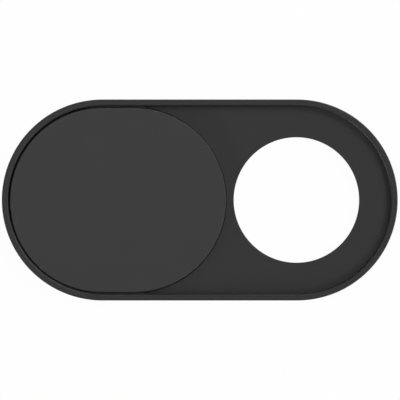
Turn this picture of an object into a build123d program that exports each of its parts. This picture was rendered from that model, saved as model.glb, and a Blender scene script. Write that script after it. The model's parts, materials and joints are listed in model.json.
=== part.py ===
from build123d import *
import os

# Webcam cover slider: a thin frame with a round lens window, and a shutter plate that slides to cover it.
# +X runs along the slide, from the open end to the lens window. +Z points out of the front.
# The origin is the middle of the outline, on the sticky face of the tape. All sizes are in millimetres.

# Lens window, and the floor and rim round it
window_radius = 2.85
window_end_offset = 0.03
window_edge_round = 0.03
floor_land = 1.41
floor_thickness = 0.30
rim_width = 0.315
rim_outer_round = 0.05
rim_inner_round = 0.08
outer_draft_angle = 1.0
back_edge_round = 0.03

# Guide grooves under the lip of the two long walls
lip_thickness = 0.15
groove_depth = 0.10

# Shutter plate
shutter_straight = 1.43
shutter_side_gap = 0.03
shutter_floor_gap = 0.03
shutter_window_gap = 0.31
shutter_draft_angle = 8.0
shutter_edge_round = 0.03

# Tongues on the shutter's long sides, one in each groove
tongue_length = 2.4
tongue_thickness = 0.14
tongue_clearance = 0.03
tongue_corner_round = 0.05

# Die-cut tape on the back
tape_thickness = 0.15
tape_margin = 0.35
tape_window_margin = 0.30

# Heights above the sticky face
frame_back = tape_thickness
floor_top = frame_back + floor_thickness
shutter_foot = floor_top + shutter_floor_gap
groove_top = shutter_foot + tongue_thickness + tongue_clearance
rim_top = groove_top + lip_thickness

# Widths across the slide
channel_width = 2 * (window_radius + floor_land)
frame_width = channel_width + 2 * rim_width
groove_width = channel_width + 2 * groove_depth
shutter_width = channel_width - 2 * shutter_side_gap
tongue_span = groove_width - 2 * tongue_clearance
tape_width = frame_width - 2 * tape_margin

# Places along the slide, counted from the centre of the round end that the open shutter sits in
open_shutter_edge = shutter_straight + shutter_width / 2
window_place = open_shutter_edge + shutter_window_gap + window_radius
end_spacing = window_place + window_end_offset

# The same places counted from the middle of the outline
window_x = window_place - end_spacing / 2
shutter_open_x = (shutter_straight - end_spacing) / 2
slide_travel = end_spacing - shutter_straight
groove_length = slide_travel + tongue_length + 2 * tongue_clearance


def top_face(solid):
    return solid.faces().sort_by(Axis.Z)[-1]


def bottom_face(solid):
    return solid.faces().sort_by(Axis.Z)[0]


def face_at_height(solid, height):
    return solid.faces().sort_by(lambda face: abs(face.center().Z - height))[0]


def hole_edges(face):
    return face.inner_wires()[0].edges()


def make_frame():
    """One moulding: a drafted stadium block with its channel, lens window and undercut grooves."""
    outline = SlotCenterToCenter(end_spacing, frame_width)
    frame = Pos(0, 0, frame_back) * extrude(outline, rim_top - frame_back, taper=outer_draft_angle)
    frame = fillet(top_face(frame).edges(), rim_outer_round)
    frame = fillet(bottom_face(frame).edges(), back_edge_round)

    channel = SlotCenterToCenter(end_spacing, channel_width)
    frame -= Pos(0, 0, floor_top) * extrude(channel, rim_top - floor_top)
    frame = fillet(hole_edges(top_face(frame)), rim_inner_round)

    window = Circle(window_radius)
    frame -= Pos(window_x, 0, frame_back) * extrude(window, floor_thickness)
    frame = fillet(hole_edges(face_at_height(frame, floor_top)), window_edge_round)
    frame = fillet(hole_edges(bottom_face(frame)), window_edge_round)

    grooves = Rectangle(groove_length, groove_width)
    frame -= Pos(0, 0, floor_top) * extrude(grooves, groove_top - floor_top)
    return frame


def make_shutter():
    """One moulding, at its open place: a drafted plate, flush with the rim, and a tongue on each long side."""
    outline = SlotCenterToCenter(shutter_straight, shutter_width)
    plate = extrude(outline, rim_top - shutter_foot, taper=shutter_draft_angle)
    plate = fillet(top_face(plate).edges(), shutter_edge_round)

    tongues = extrude(Rectangle(tongue_length, tongue_span), tongue_thickness)
    tongues = fillet(tongues.edges().filter_by(Axis.Z), tongue_corner_round)
    return Pos(shutter_open_x, 0, shutter_foot) * (plate + tongues)


def make_adhesive_tape():
    """Double-sided tape cut to the outline of the back, with a hole that stays clear of the window."""
    outline = SlotCenterToCenter(end_spacing, tape_width)
    hole = Pos(window_x, 0) * Circle(window_radius + tape_window_margin)
    return extrude(outline - hole, tape_thickness)


os.makedirs("parts", exist_ok=True)
export_step(make_frame(), "parts/frame.step")
export_step(make_shutter(), "parts/shutter.step")
export_step(make_adhesive_tape(), "parts/adhesive_tape.step")
print(f"outline {end_spacing + frame_width:.3f} x {frame_width:.3f} x {rim_top:.3f} mm")
print(f"window at x = {window_x:.3f} mm, shutter slides {slide_travel:.3f} mm from x = {shutter_open_x:.3f} mm")
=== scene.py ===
# %% [markdown]
# # A webcam cover slider
# The object is a thin dark frame with a round window for a camera lens, a shutter plate that slides over
# that window, and a die-cut tape that holds the cover to a laptop. The solids come packed at their real
# size, in metres. This lesson gives each of them a finished surface and a material, and then frames and
# lights the whole. Nothing is moved or resized on the way, so the finished pieces fit and slide exactly as
# the solids do.

# %% Load the solids
import json
import math

import bpy
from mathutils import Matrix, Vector


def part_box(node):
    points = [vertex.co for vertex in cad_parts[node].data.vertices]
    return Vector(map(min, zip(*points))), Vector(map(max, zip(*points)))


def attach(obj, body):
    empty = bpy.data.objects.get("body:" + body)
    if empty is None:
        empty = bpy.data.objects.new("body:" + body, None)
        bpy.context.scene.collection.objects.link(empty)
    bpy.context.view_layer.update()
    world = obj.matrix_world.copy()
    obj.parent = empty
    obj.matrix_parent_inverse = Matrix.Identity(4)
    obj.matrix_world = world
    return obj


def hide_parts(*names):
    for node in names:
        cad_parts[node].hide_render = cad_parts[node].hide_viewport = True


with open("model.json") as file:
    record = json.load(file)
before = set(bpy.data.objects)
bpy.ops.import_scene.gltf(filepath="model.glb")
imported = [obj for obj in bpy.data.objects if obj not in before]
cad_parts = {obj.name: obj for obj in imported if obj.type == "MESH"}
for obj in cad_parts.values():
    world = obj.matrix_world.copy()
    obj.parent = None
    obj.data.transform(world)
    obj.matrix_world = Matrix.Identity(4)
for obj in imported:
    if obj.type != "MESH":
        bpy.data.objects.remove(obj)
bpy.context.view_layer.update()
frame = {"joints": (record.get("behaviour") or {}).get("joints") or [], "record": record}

# %% [markdown]
# ## Sizes
# Every piece is a stadium, which is a rectangle with round ends, so its outline needs only the distance
# between the two end centres and the radius of the ends. The boxes of the solids, the window's mount and the
# joint give those. Typing them in again would also work, but then a changed solid would no longer match.
# Only the sizes inside a section, which no box shows, are written here, once each.

# %% Read the outlines from the solids
MM = 0.001
frame_low, frame_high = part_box("frame")
shutter_low, shutter_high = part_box("shutter")
tape_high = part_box("adhesive_tape")[1]
window = next(mount for mount in frame["record"]["mounts"] if mount["name"] == "camera_window")
window_x = window["pos_m"][0]
window_radius = window["dims"]["r_mm"] * MM
travel = frame["joints"][0]["range_m"][1]
end_spacing = 2 * (frame_high.x - frame_high.y)
print(f"end centres {end_spacing / MM:.3f} mm apart, window {window_radius / MM:.2f} mm in radius")

# %% Name the sizes of the sections
rim_width = 0.315 * MM
rim_outer_round = 0.05 * MM
rim_inner_round = 0.08 * MM
back_round = 0.03 * MM
window_round = 0.03 * MM
outer_draft = math.radians(1.0)
lip_thickness = 0.15 * MM
groove_depth = 0.10 * MM
tongue_length = 2.4 * MM
tongue_round = 0.05 * MM
tongue_clearance = 0.03 * MM
shutter_gap = 0.03 * MM
shutter_round = 0.03 * MM
shutter_draft = math.radians(8.0)
tape_round = 0.015 * MM
tape_hole_margin = 0.30 * MM
print(f"rim {rim_width / MM:.3f} mm wide, shutter walls lean {math.degrees(shutter_draft):.0f} degrees")

# %% Work out the rest
frame_radius = frame_high.y + back_round * (math.tan(outer_draft) + 1 / math.cos(outer_draft) - 1)
channel_radius = frame_radius - rim_width
shutter_radius = channel_radius - shutter_gap
frame_back = frame_low.z
rim_top = frame_high.z
groove_top = rim_top - lip_thickness
floor_top = window["pos_m"][2] + window["dims"]["length_mm"] * MM / 2 + window_round
shutter_foot = shutter_low.z
tongue_top = groove_top - tongue_clearance
shutter_x = (shutter_low.x + shutter_high.x) / 2
shutter_spacing = shutter_high.x - shutter_low.x - 2 * shutter_radius
print(f"frame end radius {frame_radius / MM:.4f} mm, floor at {floor_top / MM:.3f} mm")
print(f"shutter {shutter_spacing / MM:.3f} mm between end centres, at x {shutter_x / MM:.3f} mm")

# %% [markdown]
# ## Outlines as wires
# The real frame and shutter are moulded, and their section stays the same all the way round. So a piece can
# be made as one section that is carried round an outline. Boxes and cylinders with Booleans would also do,
# but they leave long thin triangles, and no clean rings of faces for the light to run along. The outline is
# a chain of edges: even steps round each end, even steps along each side, and extra points where a groove or
# a tongue has to stop.

# %% Step round one end
ARC_STEPS = 96
CROWDED = 0.4


def arc_turns(marks):
    """Angles from 0 to half a turn: even steps, and the marked angles at both ends of the arc."""
    stops = sorted([*marks, *(math.pi - mark for mark in marks)])
    step = math.pi / ARC_STEPS
    even = [step * i for i in range(ARC_STEPS + 1)]
    roomy = [turn for turn in even if all(abs(turn - stop) > CROWDED * step for stop in stops)]
    return sorted(roomy + stops)


print("angles round a plain end:", len(arc_turns([])))

# %% [markdown]
# Each point of an outline also carries a number, hole_turn. It is the angle that the point takes when its
# ring is drawn in to the round window, and it grows evenly from the middle of the end that holds the window.
# The tape has the plainest outline, so it comes first.

# %% Draw the tape's outline
SIDE_STEPS = 32


def wire(name, points, closed, **numbers):
    """A chain of edges in the scene, with a number per point under each given name."""
    mesh = bpy.data.meshes.new(name)
    links = [(i, i + 1) for i in range(len(points) - 1)]
    if closed:
        links.append((len(points) - 1, 0))
    mesh.from_pydata(points, links, [])
    for label, values in numbers.items():
        mesh.attributes.new(label, "FLOAT", "POINT").data.foreach_set("value", values)
    made = bpy.data.objects.new(name, mesh)
    bpy.context.scene.collection.objects.link(made)
    return made


def stadium(name, middle_x, spacing, radius, marks=()):
    """A closed chain round a stadium, counter-clockwise from the foot of its right end."""
    turns = arc_turns(marks)
    points = []
    for side in (1, -1):
        centre = middle_x + side * spacing / 2
        arc = [turn - side * math.pi / 2 for turn in turns]
        points += [(centre + radius * math.cos(turn), radius * math.sin(turn), 0) for turn in arc]
        run = [spacing * i / SIDE_STEPS for i in range(1, SIDE_STEPS)]
        points += [(centre - side * along, side * radius, 0) for along in run]
    middle_of_right_end = (len(turns) - 1) / 2
    hole_turns = [math.tau * (i - middle_of_right_end) / len(points) for i in range(len(points))]
    return wire(name, points, True, hole_turn=hole_turns)


tape_outline = stadium("tape_outline", 0, end_spacing, tape_high.y)
print("points round the tape:", len(tape_outline.data.vertices))

# %% Draw the frame's outline, with the ends of its grooves
groove_half_length = (travel + tongue_length) / 2 + tongue_clearance
groove_mark = math.asin((groove_half_length - end_spacing / 2) / channel_radius)
frame_outline = stadium("frame_outline", 0, end_spacing, frame_radius, [groove_mark])
print("points round the frame:", len(frame_outline.data.vertices))

# %% Draw the shutter's outline, with the round corners of its tongues
CORNER_TURNS = (0, 30, 60, 90)
tongue_overrun = tongue_length / 2 - shutter_spacing / 2
tongue_corner = [tongue_round * (1 - math.sin(math.radians(turn))) for turn in CORNER_TURNS]
tongue_marks = [math.asin((tongue_overrun - back) / shutter_radius) for back in tongue_corner]
shutter_outline = stadium("shutter_outline", shutter_x, shutter_spacing, shutter_radius, tongue_marks)
print("points round the shutter:", len(shutter_outline.data.vertices))

# %% [markdown]
# ## Sections as wires
# A section is drawn as it would be on paper: x is how far a point lies inside the outline, y is its height,
# and a corner may have a radius. Mould makers round every edge that a finger or a light can find, so most
# corners have one. A Bevel modifier could round them later, but then the small radii would be harder to set
# apart. One extra point at each end of a round keeps the flat beside it flat under smooth shading, as
# holding loops do. The tape's wall shows how it works: only the edge of its sticky side is round.

# %% Round the corners of the tape's wall
ROUND_STEPS = 8
HOLD = 0.012 * MM
LAND = 0.5 * MM


def rounded(corners):
    """Points along a bent line between its first and last corner; a corner is inset, height, radius."""
    points = []
    for before, corner, after in zip(corners, corners[1:], corners[2:]):
        here = Vector(corner[:2])
        back = (Vector(before[:2]) - here).normalized()
        ahead = (Vector(after[:2]) - here).normalized()
        radius = corner[2]
        if not radius:
            points.append(here)
            continue
        half = back.angle(ahead) / 2
        sweep = math.pi - 2 * half
        centre = here + (back + ahead).normalized() * radius / math.sin(half)
        start = here + back * radius / math.tan(half)
        end = here + ahead * radius / math.tan(half)
        points.append(start + back * HOLD)
        for step in range(ROUND_STEPS + 1):
            share = step / ROUND_STEPS
            near = math.sin((1 - share) * sweep) / math.sin(sweep)
            far = math.sin(share * sweep) / math.sin(sweep)
            points.append(centre + (start - centre) * near + (end - centre) * far)
        points.append(end + ahead * HOLD)
    return points


tape_top = tape_high.z
tape_wall = rounded([(LAND, 0, 0), (0, 0, tape_round), (0, tape_top, 0), (LAND, tape_top, 0)])
print("points along the tape's wall:", len(tape_wall))

# %% [markdown]
# Two numbers ride on the points of a section. hole_radius is more than zero where a ring belongs to the
# window. side_strip marks the two corners of the strip of wall that a groove is pressed into, or a tongue
# pulled out of. The tape has a hole and no strip, the frame has both, and the shutter has a strip and no
# hole.

# %% Close the tape's section round its hole
SAME_PLACE = 1e-6 * MM


def section(name, wall_points, strip_corners=(), hole_points=()):
    """A section wire. The corners of the side strip are marked, and hole points close it round the window."""
    points = [(inset, up, 0) for inset, up in wall_points] + [(0, up, 0) for radius, up in hole_points]
    holes = [0.0] * len(wall_points) + [radius for radius, up in hole_points]
    corners = [Vector((*corner, 0)) for corner in strip_corners]
    gaps = [[(Vector(point) - corner).length for corner in corners] for point in points]
    strip = [float(any(gap < SAME_PLACE for gap in row)) for row in gaps]
    return wire(name, points, bool(hole_points), hole_radius=holes, side_strip=strip)


tape_hole = window_radius + tape_hole_margin
tape_hole_wall = rounded([
    (tape_hole + LAND, tape_top, 0),
    (tape_hole, tape_top, 0),
    (tape_hole, 0, tape_round),
    (tape_hole + LAND, 0, 0),
])
tape_section = section("tape_section", tape_wall, hole_points=tape_hole_wall)
print("points in the tape's section:", len(tape_section.data.vertices))

# %% Draw the frame's section
outer_lean = (rim_top - frame_back) * math.tan(outer_draft)
frame_wall = rounded([
    (LAND, frame_back, 0),
    (0, frame_back, back_round),
    (outer_lean, rim_top, rim_outer_round),
    (rim_width, rim_top, rim_inner_round),
    (rim_width, groove_top, 0),
    (rim_width, floor_top, 0),
    (LAND, floor_top, 0),
])
window_wall = rounded([
    (window_radius + LAND, floor_top, 0),
    (window_radius, floor_top, window_round),
    (window_radius, frame_back, window_round),
    (window_radius + LAND, frame_back, 0),
])
groove_strip = [(rim_width, groove_top), (rim_width, floor_top)]
frame_section = section("frame_section", frame_wall, groove_strip, window_wall)
print("points in the frame's section:", len(frame_section.data.vertices))

# %% Draw the shutter's section
tongue_lean = (tongue_top - shutter_foot) * math.tan(shutter_draft)
shutter_lean = (rim_top - shutter_foot) * math.tan(shutter_draft)
shutter_wall = rounded([
    (shutter_radius, shutter_foot, 0),
    (0, shutter_foot, 0),
    (tongue_lean, tongue_top, 0),
    (shutter_lean, rim_top, shutter_round),
    (shutter_radius, rim_top, 0),
])
spine_low = Vector((shutter_radius, shutter_foot))
spine_high = Vector((shutter_radius, rim_top))
tongue_strip = [(0, shutter_foot), (tongue_lean, tongue_top)]
shutter_section = section("shutter_section", [spine_low, *shutter_wall, spine_high], tongue_strip)
print("points in the shutter's section:", len(shutter_section.data.vertices))

# %% [markdown]
# ## One node tree for all three pieces
# Geometry Nodes fit here, because the shapes follow a rule. One tree serves the tape, the frame and the
# shutter, and only its inputs differ. The next cells build it step by step, each taking the shape so far a
# little further. A tree built in a script soon gets long, so a few small helpers add a node and its links in
# one line.

# %% Start the tree
TREE_INPUTS = {
    "Outline": "NodeSocketObject",
    "Section": "NodeSocketObject",
    "Middle X": "NodeSocketFloat",
    "End Spacing": "NodeSocketFloat",
    "Window X": "NodeSocketFloat",
    "Side Half Length": "NodeSocketFloat",
    "Side Reach": "NodeSocketFloat",
    "Side Corner Round": "NodeSocketFloat",
    "Finish": "NodeSocketMaterial",
}
swept_piece = bpy.data.node_groups.new("swept_piece", "GeometryNodeTree")
for label, kind in TREE_INPUTS.items():
    swept_piece.interface.new_socket(label, in_out="INPUT", socket_type=kind)
swept_piece.interface.new_socket("Piece", in_out="OUTPUT", socket_type="NodeSocketGeometry")
print("inputs of the tree:", len(TREE_INPUTS))

# %% Add nodes in few words
def plug(tree, node, inputs):
    """Give the inputs of a node, by name or number, a link or a plain value each."""
    for name, source in dict(inputs).items():
        if isinstance(source, bpy.types.NodeSocket):
            tree.links.new(source, node.inputs[name])
        else:
            node.inputs[name].default_value = source


def put(tree, kind, inputs=(), **settings):
    """Add one node. Inputs are plugged in, and settings go on the node itself."""
    made = tree.nodes.new(kind)
    for name, value in settings.items():
        setattr(made, name, value)
    plug(tree, made, inputs)
    return made


def calc(tree, operation, *values):
    """The result of one Math node."""
    return put(tree, "ShaderNodeMath", enumerate(values), operation=operation).outputs[0]


given = put(swept_piece, "NodeGroupInput").outputs
print("the tree starts from", given[0].name, "and", given[1].name)

# %% [markdown]
# ### Carry the section round the outline
# Curve to Mesh does the sweep, and each outline point needs to know which way is inwards. The free curve
# normal takes that from a field: the way to the nearest point of the middle line, which is straight across on
# the sides and towards the end's centre on the ends. Blender's own curve normals lean a little where the
# steps are uneven, and the rings would then not meet in one point in the middle of the shutter. The sweep
# comes out with its faces turned inwards, so they are flipped.

# %% Sweep
def place_of_points(tree):
    """The x, y and z of each point, as three fields."""
    place = put(tree, "GeometryNodeInputPosition").outputs[0]
    return put(tree, "ShaderNodeSeparateXYZ", {0: place}).outputs


def sweep_section(tree):
    """The section carried round the outline, facing outwards."""
    outline = put(tree, "GeometryNodeObjectInfo", {"Object": given["Outline"]}).outputs["Geometry"]
    drawing = put(tree, "GeometryNodeObjectInfo", {"Object": given["Section"]}).outputs["Geometry"]
    path = put(tree, "GeometryNodeMeshToCurve", {"Mesh": outline}).outputs[0]
    profile = put(tree, "GeometryNodeMeshToCurve", {"Mesh": drawing}).outputs[0]

    x, y = place_of_points(tree)[:2]
    along = calc(tree, "SUBTRACT", x, given["Middle X"])
    half_spacing = calc(tree, "MULTIPLY", given["End Spacing"], 0.5)
    past_centre = calc(tree, "SUBTRACT", calc(tree, "ABSOLUTE", along), half_spacing)
    past_centre = calc(tree, "MAXIMUM", past_centre, 0.0)
    outward_x = calc(tree, "MULTIPLY", calc(tree, "SIGN", along), past_centre)
    outward = put(tree, "ShaderNodeCombineXYZ", {0: outward_x, 1: y}).outputs[0]
    outward = put(tree, "ShaderNodeVectorMath", {0: outward}, operation="NORMALIZE").outputs[0]
    inward = put(tree, "ShaderNodeVectorMath", {0: outward, "Scale": -1.0}, operation="SCALE").outputs[0]

    turned = {"Curve": path, "Normal": inward}
    path = put(tree, "GeometryNodeSetCurveNormal", turned, mode="FREE").outputs[0]
    swept = put(tree, "GeometryNodeCurveToMesh", {"Curve": path, "Profile Curve": profile}).outputs[0]
    return put(tree, "GeometryNodeFlipFaces", {"Mesh": swept}).outputs[0]


shape = sweep_section(swept_piece)
print("nodes after the sweep:", len(swept_piece.nodes))

# %% [markdown]
# ### Draw the window's rings in to a circle
# The lens window is a plain round hole near one end. The last points of the section belong to it, so the
# sweep has already made their rings, only in the wrong place. Each ring point is set on a circle, at the
# angle and the radius that ride on it, and points that fall together are merged. A Boolean cut would give the
# same hole with a ragged border of triangles.

# %% Window
MERGE_GAP = 1e-4 * MM


def number_on_points(tree, name):
    """A number that rides on the points under that name."""
    return put(tree, "GeometryNodeInputNamedAttribute", {"Name": name}, data_type="FLOAT").outputs[0]


def round_window(tree, shape):
    """Rings with a hole radius become circles round the window's centre, at the height they have."""
    z = place_of_points(tree)[2]
    hole_radius = number_on_points(tree, "hole_radius")
    hole_turn = number_on_points(tree, "hole_turn")
    hole_x = calc(tree, "MULTIPLY_ADD", calc(tree, "COSINE", hole_turn), hole_radius, given["Window X"])
    hole_y = calc(tree, "MULTIPLY", calc(tree, "SINE", hole_turn), hole_radius)
    hole_place = put(tree, "ShaderNodeCombineXYZ", {0: hole_x, 1: hole_y, 2: z}).outputs[0]
    in_hole = calc(tree, "GREATER_THAN", hole_radius, 0.0)
    moved = {"Geometry": shape, "Selection": in_hole, "Position": hole_place}
    shape = put(tree, "GeometryNodeSetPosition", moved).outputs[0]
    return put(tree, "GeometryNodeMergeByDistance", {"Geometry": shape, "Distance": MERGE_GAP}).outputs[0]


shape = round_window(swept_piece, shape)
print("nodes after the window:", len(swept_piece.nodes))

# %% [markdown]
# ### Grooves and tongues
# On the real cover the two long walls of the frame are undercut, and the shutter has a low tongue on each
# side that runs there, which is what keeps it from falling out. Boxes could cut the grooves and be added as
# tongues, but that would break up the clean rings. Here both are the marked strip of a long wall, taken to a
# set distance from the middle: into the wall for a groove, out of it for a tongue. Extrude Mesh makes the new
# walls at no distance at first, and Set Position then takes the strip to its reach, with rounded corners
# where a piece has them.

# %% Side strips
ALL_MARKED = 0.99


def press_sides(tree, shape):
    """The strips of both long walls whose corners are all marked, taken to their reach."""
    x, y, z = place_of_points(tree)
    off_middle = calc(tree, "ABSOLUTE", calc(tree, "SUBTRACT", x, given["Middle X"]))
    in_length = calc(tree, "LESS_THAN", off_middle, given["Side Half Length"])
    in_strip = calc(tree, "GREATER_THAN", number_on_points(tree, "side_strip"), ALL_MARKED)
    strip = calc(tree, "MULTIPLY", in_length, in_strip)
    pull = {"Mesh": shape, "Selection": strip, "Offset Scale": 0.0, "Individual": False}
    pulled = put(tree, "GeometryNodeExtrudeMesh", pull).outputs

    corner = given["Side Corner Round"]
    corner_start = calc(tree, "SUBTRACT", given["Side Half Length"], corner)
    past_start = calc(tree, "MAXIMUM", calc(tree, "SUBTRACT", off_middle, corner_start), 0.0)
    corner_squared = calc(tree, "POWER", corner, 2.0)
    height_squared = calc(tree, "SUBTRACT", corner_squared, calc(tree, "POWER", past_start, 2.0))
    corner_height = calc(tree, "SQRT", calc(tree, "MAXIMUM", height_squared, 0.0))
    reach = calc(tree, "ADD", calc(tree, "SUBTRACT", given["Side Reach"], corner), corner_height)
    side_y = calc(tree, "MULTIPLY", calc(tree, "SIGN", y), reach)
    side_place = put(tree, "ShaderNodeCombineXYZ", {0: x, 1: side_y, 2: z}).outputs[0]
    moved = {"Geometry": pulled["Mesh"], "Selection": pulled["Top"], "Position": side_place}
    return put(tree, "GeometryNodeSetPosition", moved).outputs[0]


shape = press_sides(swept_piece, shape)
print("nodes after the side strips:", len(swept_piece.nodes))

# %% [markdown]
# ### Crisp edges and a finish
# Smooth shading makes the fine steps of a round read as one curve. A sharp corner, such as the foot of a
# wall, would be smeared by it, so edges that turn by more than a set angle stay crisp. The tree ends by
# making its result real and giving it its material.

# %% Finish the tree
SHARP_TURN = math.radians(35)


def finish_shape(tree, shape):
    """The shape with its edges crisp or smooth, made real, in its own material."""
    turn = put(tree, "GeometryNodeInputMeshEdgeAngle").outputs["Unsigned Angle"]
    is_gentle = calc(tree, "LESS_THAN", turn, SHARP_TURN)
    shape = put(tree, "GeometryNodeSetShadeSmooth", {"Geometry": shape}, domain="FACE").outputs[0]
    edges = {"Geometry": shape, "Shade Smooth": is_gentle}
    shape = put(tree, "GeometryNodeSetShadeSmooth", edges, domain="EDGE").outputs[0]
    shape = put(tree, "GeometryNodeRealizeInstances", {"Geometry": shape}).outputs[0]
    return put(tree, "GeometryNodeSetMaterial", {"Geometry": shape, "Material": given["Finish"]}).outputs[0]


put(swept_piece, "NodeGroupOutput", {"Piece": finish_shape(swept_piece, shape)})
print("nodes in the whole tree:", len(swept_piece.nodes))

# %% [markdown]
# ## Dark moulded plastic
# The frame and the shutter are black-grey plastic from a steel mould. The parts of the mould that form the
# flat faces are spark-eroded, which leaves a field of tiny pits, so there the plastic is matte and hides
# fingerprints. The walls drag along the steel when a part is pushed out, so that steel is ground smooth, up
# to the rounds on top of the walls, and there the plastic is smoother. The walls and those rounds are also
# given a darker colour than the faces, which is painted shade that draws the dark lines along the edges. A
# single colour and roughness would look like flat paint in a close view. Here a fine noise stands for the
# pits and drives the bump and the roughness, a broad, faint noise lets the colour drift as pigment does, and
# the upward part of the normal tells a face from a wall, and so where the painted shade goes. The noises
# read Object coordinates, in metres, so the grain has a real size.

# %% Start a finish
def new_finish(name):
    """A material, its node tree, its shader, and the coordinates that its patterns can read."""
    material = bpy.data.materials.new(name)
    material.use_nodes = True
    tree = material.node_tree
    return material, tree, tree.nodes["Principled BSDF"], put(tree, "ShaderNodeTexCoord").outputs


def noise(tree, place, size, detail):
    """The outputs of a noise with spots of about that size, and finer ones where the detail is higher."""
    return put(tree, "ShaderNodeTexNoise", {"Vector": place, "Scale": 1 / size, "Detail": detail}).outputs


def spread(tree, value, from_band, to_band):
    """A value that runs over one band, carried over to another."""
    ends = zip(("From Min", "From Max", "To Min", "To Max"), (*from_band, *to_band))
    return put(tree, "ShaderNodeMapRange", {"Value": value, **dict(ends)}).outputs[0]


def blend(tree, share, first, second):
    """A colour on its way from the first to the second, by a share from 0 to 1."""
    colours = {"Factor": share, "A": first, "B": second}
    return put(tree, "ShaderNodeMix", colours, data_type="RGBA").outputs["Result"]


print("materials that came with the solids:", len(bpy.data.materials))

# %% Plastic from a mould
PIT_SIZE = 0.05 * MM
PIT_DETAIL = 2.0
PIT_DEPTH = 0.001 * MM
DRIFT_SIZE = 1.2 * MM
DRIFT_DETAIL = 4.0
NOISE_BAND = (0.3, 0.7)
FULL_BAND = (0.0, 1.0)
SHADES = (0.93, 1.07)
MATTE_ROUGHNESS = (0.40, 0.48)
WALL_BAND = (0.5, 0.9)
# Painted shade: the colour that walls and the rounds on them get, darker than the faces.
WALL_SHADE_COLOUR = (0.008, 0.008, 0.008, 1)
WALL_SMOOTHING = (0.8, 1.0)
PLASTIC_GLOSS = 0.5


def moulded_plastic(name, grey):
    """Plastic that is matte and pitted where it faces up or down, smoother on its walls, and darker on them
    as painted shade.
    """
    material, tree, shader, coordinates = new_finish(name)
    pits = noise(tree, coordinates["Object"], PIT_SIZE, PIT_DETAIL)[0]
    drift = noise(tree, coordinates["Object"], DRIFT_SIZE, DRIFT_DETAIL)[0]
    mottle = spread(tree, calc(tree, "ADD", pits, drift), [2 * end for end in NOISE_BAND], FULL_BAND)
    upward = put(tree, "ShaderNodeSeparateXYZ", {0: coordinates["Normal"]}).outputs[2]
    matte = spread(tree, calc(tree, "ABSOLUTE", upward), WALL_BAND, FULL_BAND)

    dark, light = [(grey * shade, grey * shade, grey * shade, 1) for shade in SHADES]
    # Painted shade: walls take the dark wall colour, and faces the drifting grey.
    colour = blend(tree, matte, WALL_SHADE_COLOUR, blend(tree, mottle, dark, light))
    roughness = spread(tree, pits, NOISE_BAND, MATTE_ROUGHNESS)
    roughness = calc(tree, "MULTIPLY", roughness, spread(tree, matte, FULL_BAND, WALL_SMOOTHING))
    relief = {"Height": pits, "Strength": matte, "Distance": PIT_DEPTH}
    normal = put(tree, "ShaderNodeBump", relief).outputs[0]
    plug(tree, shader, {"Base Color": colour, "Roughness": roughness, "Normal": normal})
    plug(tree, shader, {"Specular IOR Level": PLASTIC_GLOSS})
    return material


print(f"pits {PIT_SIZE / MM:.2f} mm across and {PIT_DEPTH / MM:.3f} mm deep")

# %% Mix the two plastics
FRAME_GREY = 0.015
SHUTTER_GREY = 0.025
frame_plastic = moulded_plastic("frame_plastic", FRAME_GREY)
shutter_plastic = moulded_plastic("shutter_plastic", SHUTTER_GREY)
print("nodes in the frame's plastic:", len(frame_plastic.node_tree.nodes))

# %% [markdown]
# ## Sticky tissue tape
# The tape is a sheet of tissue paper, soaked in adhesive on both sides and cut out with a die. Long pale
# fibres lie in it in all directions, under a film that stays a little shiny. They could be drawn as hundreds
# of curves, but they are far thinner than the sheet and lie inside it, so they only need to show in the
# colour, the gloss and a faint relief. Noise that is stretched one way looks like fibres that lie along it.
# The tape takes the strongest of several such layers, each turned another way, and a broad noise bends them
# all so that no fibre runs quite straight.

# %% Fibres that lie one way
FIBRE_LENGTH = 1.6 * MM
FIBRE_WIDTH = 0.07 * MM
FIBRE_DETAIL = 1.0
FIBRE_BAND = (0.58, 0.70)


def fibre_layer(tree, place, turn):
    """How much of a fibre lies at each place, for the fibres that point one way."""
    one_fibre = (FIBRE_LENGTH, FIBRE_WIDTH, FIBRE_WIDTH)
    stretch = {"Vector": place, "Rotation": (0, 0, turn), "Scale": one_fibre}
    in_fibres = put(tree, "ShaderNodeMapping", stretch, vector_type="TEXTURE").outputs[0]
    return spread(tree, noise(tree, in_fibres, 1.0, FIBRE_DETAIL)[0], FIBRE_BAND, FULL_BAND)


print(f"fibres {FIBRE_LENGTH / MM:.1f} mm long and {FIBRE_WIDTH / MM:.2f} mm wide")

# %% Tissue and adhesive
FIBRE_TURNS = (12, 41, 77, 104, 139, 163)
BEND_SIZE = 1.8 * MM
BEND_DETAIL = 1.0
BEND_REACH = (1.2 * MM, 1.2 * MM, 0)
FIBRE_RELIEF = 0.003 * MM
FIBRE_COLOUR = (0.79, 0.77, 0.72, 1)
ADHESIVE_COLOUR = (0.68, 0.66, 0.59, 1)
ADHESIVE_TO_FIBRE_ROUGHNESS = (0.25, 0.5)
FILM_WEIGHT = 0.3
FILM_ROUGHNESS = 0.15


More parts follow.
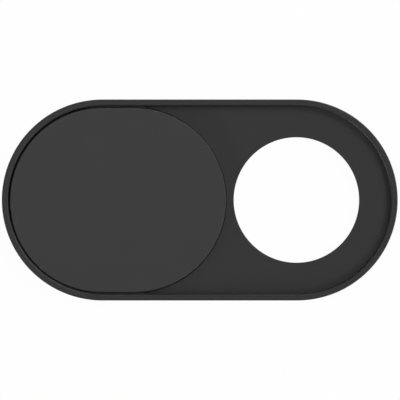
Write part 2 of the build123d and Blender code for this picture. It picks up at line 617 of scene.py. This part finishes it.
def tissue_tape(name):
    """Pale fibres in a yellowish adhesive, with a thin shiny film on top."""
    material, tree, shader, coordinates = new_finish(name)
    place = coordinates["Object"]
    bend = {0: noise(tree, place, BEND_SIZE, BEND_DETAIL)["Color"], 1: BEND_REACH, 2: place}
    bent = put(tree, "ShaderNodeVectorMath", bend, operation="MULTIPLY_ADD").outputs[0]
    layers = [fibre_layer(tree, bent, math.radians(turn)) for turn in FIBRE_TURNS]
    fibres = layers[0]
    for layer in layers[1:]:
        fibres = calc(tree, "MAXIMUM", fibres, layer)
    colour = blend(tree, fibres, ADHESIVE_COLOUR, FIBRE_COLOUR)
    roughness = spread(tree, fibres, FULL_BAND, ADHESIVE_TO_FIBRE_ROUGHNESS)
    normal = put(tree, "ShaderNodeBump", {"Height": fibres, "Distance": FIBRE_RELIEF}).outputs[0]
    plug(tree, shader, {"Base Color": colour, "Roughness": roughness, "Normal": normal})
    plug(tree, shader, {"Coat Weight": FILM_WEIGHT, "Coat Roughness": FILM_ROUGHNESS})
    return material


tape_tissue = tissue_tape("tape_tissue")
print("nodes in the tape's tissue:", len(tape_tissue.node_tree.nodes))

# %% [markdown]
# ## The frame
# The frame is one moulding, a little over half a millimetre thick: a floor, a rim all round it, the window,
# and a groove under the lip of each long wall. It uses every part of the tree but the rounded corners,
# because its grooves end square. The tree could stay on it as a live modifier, but a plain mesh is safer to
# hand on, so its result is kept and the modifier removed.

# %% Make the frame
def make_piece(name, **inputs):
    """Run the tree with these inputs, and keep its result as an ordinary mesh object."""
    made = bpy.data.objects.new(name, bpy.data.meshes.new(name))
    bpy.context.scene.collection.objects.link(made)
    modifier = made.modifiers.new("swept_piece", "NODES")
    modifier.node_group = swept_piece
    sockets = {item.name: item.identifier for item in swept_piece.interface.items_tree}
    for label, value in inputs.items():
        modifier[sockets[label.replace("_", " ")]] = value
    evaluated = made.evaluated_get(bpy.context.evaluated_depsgraph_get())
    mesh = bpy.data.meshes.new_from_object(evaluated)
    made.modifiers.remove(modifier)
    made.data = mesh
    mesh.name = name
    print(name, "has", len(mesh.polygons), "faces")
    return made


moulded_frame = make_piece(
    "moulded_frame", Outline=frame_outline, Section=frame_section, End_Spacing=end_spacing, Window_X=window_x,
    Side_Half_Length=groove_half_length, Side_Reach=channel_radius + groove_depth, Finish=frame_plastic)

# %% [markdown]
# A finished piece rides on a body, so that it moves with it, and takes the place of a solid.

# %% Put the frame in the place of its solid
def dress(piece, body, solid):
    """Let a finished piece ride on a body in place of its solid."""
    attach(piece, body)
    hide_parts(solid)
    print(piece.name, "rides on", body, "and stands for", solid)


dress(moulded_frame, "frame", "frame")

# %% [markdown]
# ## The shutter
# The shutter is a plate that fills the channel up to the rim, so its face lies level with the rim. Its walls
# lean, its top edge is rounded, and a tongue on each long side runs in the frame's groove. An extruded
# outline with a Bevel would look much the same from above, but its walls would stand upright. Here its
# section reaches to the middle, so the sweep closes over without a window. It rides on the body that the
# joint slides along the frame.

# %% Make the shutter
moulded_shutter = make_piece(
    "moulded_shutter", Outline=shutter_outline, Section=shutter_section, Middle_X=shutter_x,
    End_Spacing=shutter_spacing, Side_Half_Length=tongue_length / 2, Side_Reach=shutter_high.y,
    Side_Corner_Round=tongue_round, Finish=shutter_plastic)
dress(moulded_shutter, "shutter", "shutter")

# %% [markdown]
# ## The tape
# The tape has the outline of the frame's back, drawn in a little, and a hole that stays clear of the window.
# A flat sheet with a Solidify modifier would be quick, but all its edges would be square. A die presses the
# cut edge of the sticky side down as it goes through, so here that edge is slightly round. The tape sticks to
# the frame, so it rides on the frame's body. The drawing wires have then done their work.

# %% Make the tape
die_cut_tape = make_piece(
    "die_cut_tape", Outline=tape_outline, Section=tape_section, End_Spacing=end_spacing, Window_X=window_x,
    Finish=tape_tissue)
dress(die_cut_tape, "frame", "adhesive_tape")

# %% Clear the drawing wires away
outlines = (tape_outline, frame_outline, shutter_outline)
sections = (tape_section, frame_section, shutter_section)
for drawing in (*outlines, *sections):
    bpy.data.objects.remove(drawing)

# %% [markdown]
# ## Camera
# The cover is seen from straight in front, with no perspective to speak of, as with a long lens from far
# away. An orthographic camera would look the same here, but it gives no sense of depth when the scene is seen
# from a side. The width of the view is a little more than the cover is long, and sets how far away the camera
# stands.

# %% Look straight down on the cover
VIEW_WIDTH = 18.16 * MM
VIEW_X = 0.0114 * MM
LENS = 600
NEAREST = 0.01
camera_data = bpy.data.cameras.new("camera")
camera_data.lens = LENS
camera_data.clip_start = NEAREST
camera = bpy.data.objects.new("camera", camera_data)
bpy.context.scene.collection.objects.link(camera)
camera_height = VIEW_WIDTH * LENS / camera_data.sensor_width
camera.location = (VIEW_X, 0, rim_top + camera_height)
bpy.context.scene.camera = camera
print(f"camera {camera_height:.3f} m above the rim")

# %% [markdown]
# ## Floor
# The cover lies on white paper. More light would make the paper white, but the cover would then be too light
# as well. So most of the paper's look is a plain white that only the camera and shiny surfaces see, which the
# Light Path node can tell, and the rest is ordinary paper that keeps the cover's shadow. The back of the
# paper is clear, and it lets light through from below, so that the tape can be looked at too.

# %% Lay the paper down
FLOOR_HALF = 0.9
FLOOR_DROP = 0.01 * MM
floor_mesh = bpy.data.meshes.new("floor")
floor_corners = [(-1, -1), (1, -1), (1, 1), (-1, 1)]
floor_points = [(x * FLOOR_HALF, y * FLOOR_HALF, -FLOOR_DROP) for x, y in floor_corners]
floor_mesh.from_pydata(floor_points, [], [(0, 1, 2, 3)])
floor = bpy.data.objects.new("floor", floor_mesh)
bpy.context.scene.collection.objects.link(floor)
print(f"floor {2 * FLOOR_HALF} m wide, {FLOOR_DROP / MM} mm below the tape")

# %% Make it white
PAPER_WHITE = (0.9, 0.9, 0.9, 1)
WHITE_SHARE = 0.97


def white_if_seen(tree):
    """1 for rays from the camera, or off or through something shiny, and 0 for the rest."""
    ray = put(tree, "ShaderNodeLightPath").outputs
    shiny = calc(tree, "MAXIMUM", ray["Is Glossy Ray"], ray["Is Transmission Ray"])
    return calc(tree, "MAXIMUM", ray["Is Camera Ray"], shiny)


def floor_paper(name):
    """White paper from above, and nothing at all from below."""
    material = bpy.data.materials.new(name)
    material.use_nodes = True
    tree = material.node_tree
    tree.nodes.clear()
    paper = put(tree, "ShaderNodeBsdfDiffuse", {"Color": PAPER_WHITE}).outputs[0]
    white = put(tree, "ShaderNodeEmission", {"Strength": 1.0}).outputs[0]
    share = calc(tree, "MULTIPLY", white_if_seen(tree), WHITE_SHARE)
    front = put(tree, "ShaderNodeMixShader", {0: share, 1: paper, 2: white}).outputs[0]
    from_below = put(tree, "ShaderNodeNewGeometry").outputs["Backfacing"]
    light_passes = put(tree, "ShaderNodeLightPath").outputs["Is Shadow Ray"]
    clear = put(tree, "ShaderNodeBsdfTransparent").outputs[0]
    is_clear = calc(tree, "MAXIMUM", from_below, light_passes)
    both = put(tree, "ShaderNodeMixShader", {0: is_clear, 1: front, 2: clear}).outputs[0]
    put(tree, "ShaderNodeOutputMaterial", {"Surface": both})
    return material


floor_mesh.materials.append(floor_paper("floor_paper"))
print("the floor is", floor_mesh.materials[0].name)

# %% [markdown]
# ## Surroundings
# A picture of a real room could surround the cover, but a plain room tints nothing. This one is dim, so the
# lights do the work. It is white from the horizon down, where the paper ends, and white all round for a
# camera that looks up through the clear back of the paper. That shows only in views from close to the floor
# or from below it, and sheds no light on the cover.

# %% Fill the world
DIM_LEVEL = 0.04
HORIZON = math.radians(1.8)
world = bpy.data.worlds.new("studio")
bpy.context.scene.world = world
world.use_nodes = True
tree = world.node_tree
tree.nodes.clear()
way = put(tree, "ShaderNodeTexCoord").outputs["Generated"]
rise = put(tree, "ShaderNodeSeparateXYZ", {0: way}).outputs[2]
is_low = calc(tree, "LESS_THAN", rise, math.sin(HORIZON))
ray = put(tree, "ShaderNodeLightPath").outputs
went_through = calc(tree, "GREATER_THAN", ray["Transparent Depth"], 0.0)
from_below = calc(tree, "MULTIPLY", ray["Is Camera Ray"], went_through)
is_white = calc(tree, "MAXIMUM", from_below, calc(tree, "MULTIPLY", is_low, white_if_seen(tree)))
level = calc(tree, "MULTIPLY_ADD", is_white, 1 - DIM_LEVEL, DIM_LEVEL)
background = put(tree, "ShaderNodeBackground", {"Color": (1, 1, 1, 1), "Strength": level}).outputs[0]
put(tree, "ShaderNodeOutputWorld", {"Surface": background})
print("world level", DIM_LEVEL, "above the horizon")

# %% [markdown]
# ## Lights
# Small black parts show their shape by soft shade in the corners and by thin highlights on the edges. Four
# broad soft boxes on the right give the shade beside the rim. A narrow one, almost overhead, fills the faces
# and reaches into the gap round the shutter. Three low, narrow ones rake across the cover and catch the
# rounds. One below the floor is for the tape. Lamps could be set by their power in watts, but a level is
# easier to keep plain: it is what a white card that faces the lamp would show, and a card on the floor shows
# a little under 0.9 in all.

# %% Make a soft box
DISTANCE = 0.25


def softbox(name, azimuth, tilt, width, level):
    """A round soft light that looks at the cover; the tilt is counted from straight above, in degrees."""
    data = bpy.data.lights.new(name, "AREA")
    data.shape = "DISK"
    data.size = width
    watts_per_level = math.pi ** 2 * (DISTANCE ** 2 + (width / 2) ** 2)
    data.energy = level * watts_per_level
    lamp = bpy.data.objects.new(name, data)
    turn, lean = math.radians(azimuth), math.radians(tilt)
    away = Vector((math.sin(lean) * math.cos(turn), math.sin(lean) * math.sin(turn), math.cos(lean)))
    lamp.location = away * DISTANCE
    lamp.rotation_euler = away.to_track_quat("Z", "Y").to_euler()
    bpy.context.scene.collection.objects.link(lamp)


print("soft boxes hang", DISTANCE, "m from the cover")

# %% Hang the soft boxes
BROAD = 0.10
NARROW = 0.05
HUGE = 0.50
SOFTBOXES = {
    "right_1": (300, 45, BROAD, 0.10),
    "right_2": (330, 45, BROAD, 0.20),
    "right_3": (30, 45, BROAD, 0.26),
    "right_4": (60, 45, BROAD, 0.25),
    "overhead": (150, 9, NARROW, 0.07),
    "low_left": (203, 74, NARROW, 0.27),
    "low_front": (232, 74, NARROW, 0.27),
    "low_top": (72, 72, NARROW, 0.12),
    "below": (0, 180, HUGE, 0.55),
}
on_a_card = DIM_LEVEL
for name, (azimuth, tilt, width, level) in SOFTBOXES.items():
    softbox(name, azimuth, tilt, width, level)
    on_a_card += level * max(math.cos(math.radians(tilt)), 0)
print(f"a white card on the floor shows {on_a_card:.2f}")

# %% [markdown]
# ## Last settings
# Other view transforms bend colours to look like film, and Standard keeps them as they are written.

# %% Keep colours as written
bpy.context.scene.view_settings.view_transform = "Standard"
